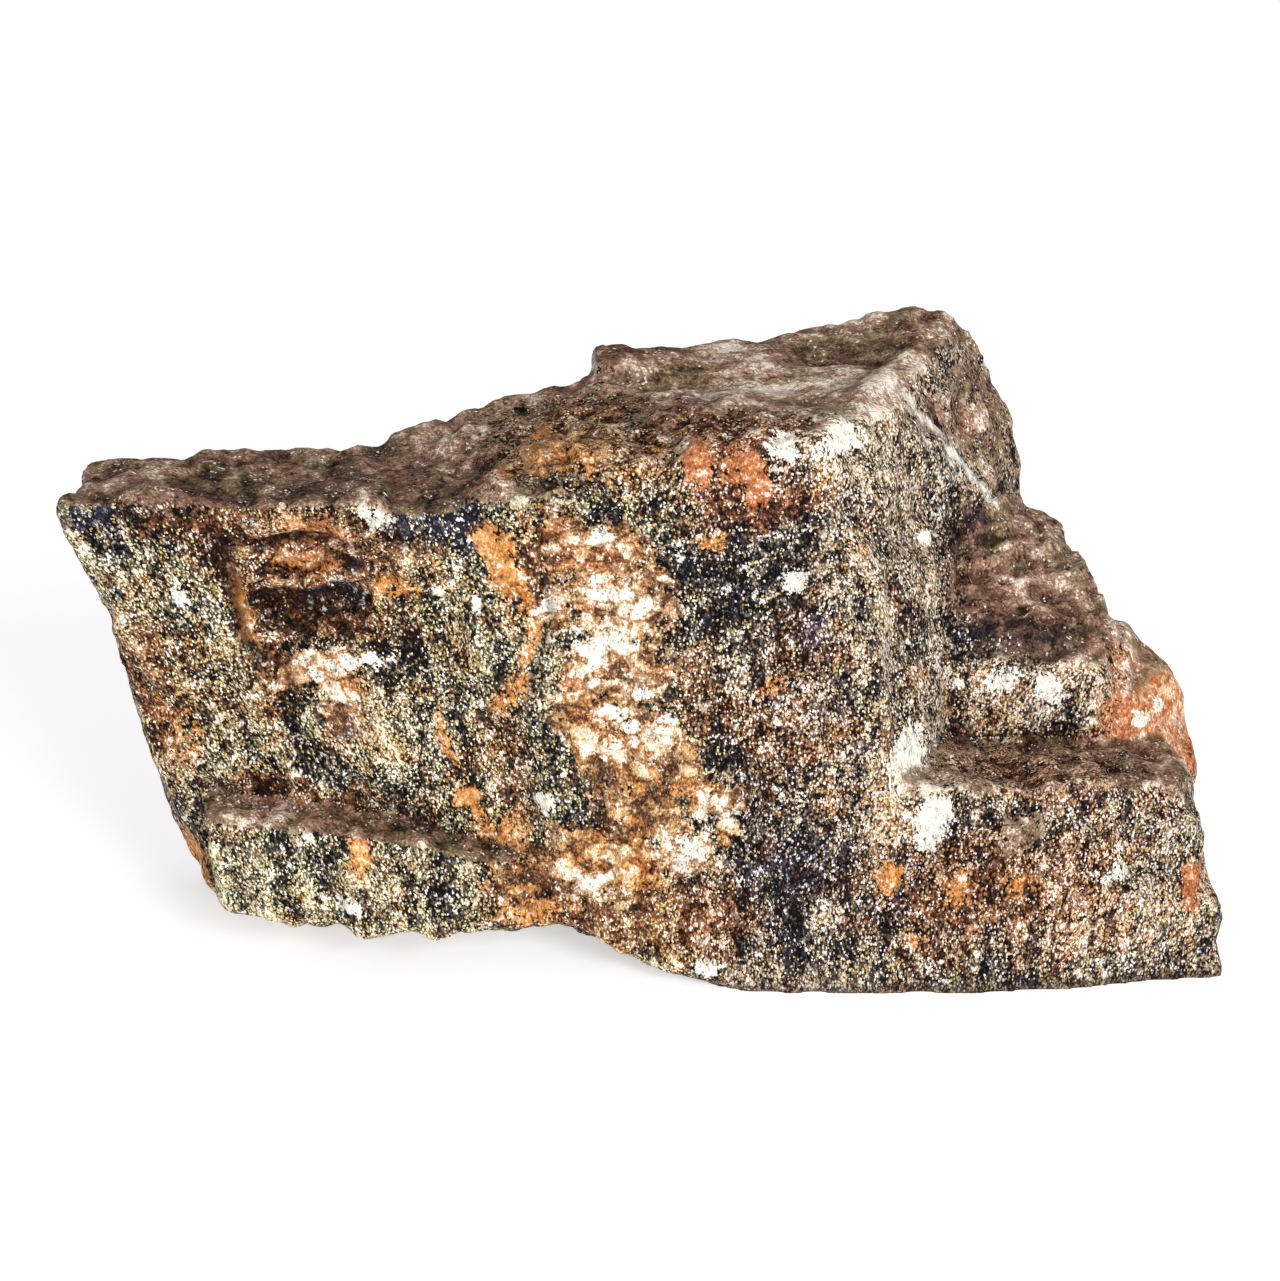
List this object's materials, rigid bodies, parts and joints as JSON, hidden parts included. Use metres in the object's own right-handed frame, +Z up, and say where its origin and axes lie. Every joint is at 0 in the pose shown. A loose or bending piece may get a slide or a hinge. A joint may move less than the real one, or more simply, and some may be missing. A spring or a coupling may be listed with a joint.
{
  "type": "hornfels specimen",
  "caption": "Broken hand specimen of banded, grainy hornfels with a quartz vein, rust stains, stepped ledges and a flat base to stand on.",
  "frame": {"origin": "middle of the stone's outline box at the level of its flat base, on the surface it rests on", "axes": "+X along the stone's length to its low right end, +Y from the broad broken front to the back, +Z up from the base"},
  "size_m": [0.0926, 0.038, 0.0486],
  "materials": {
    "hornfels": "natural broken stone, rough and dull, salt-and-pepper grains with small glints"
  },
  "bodies": {
    "root": {"hornfels_stone": "hornfels"}
  },
  "joints": []
}
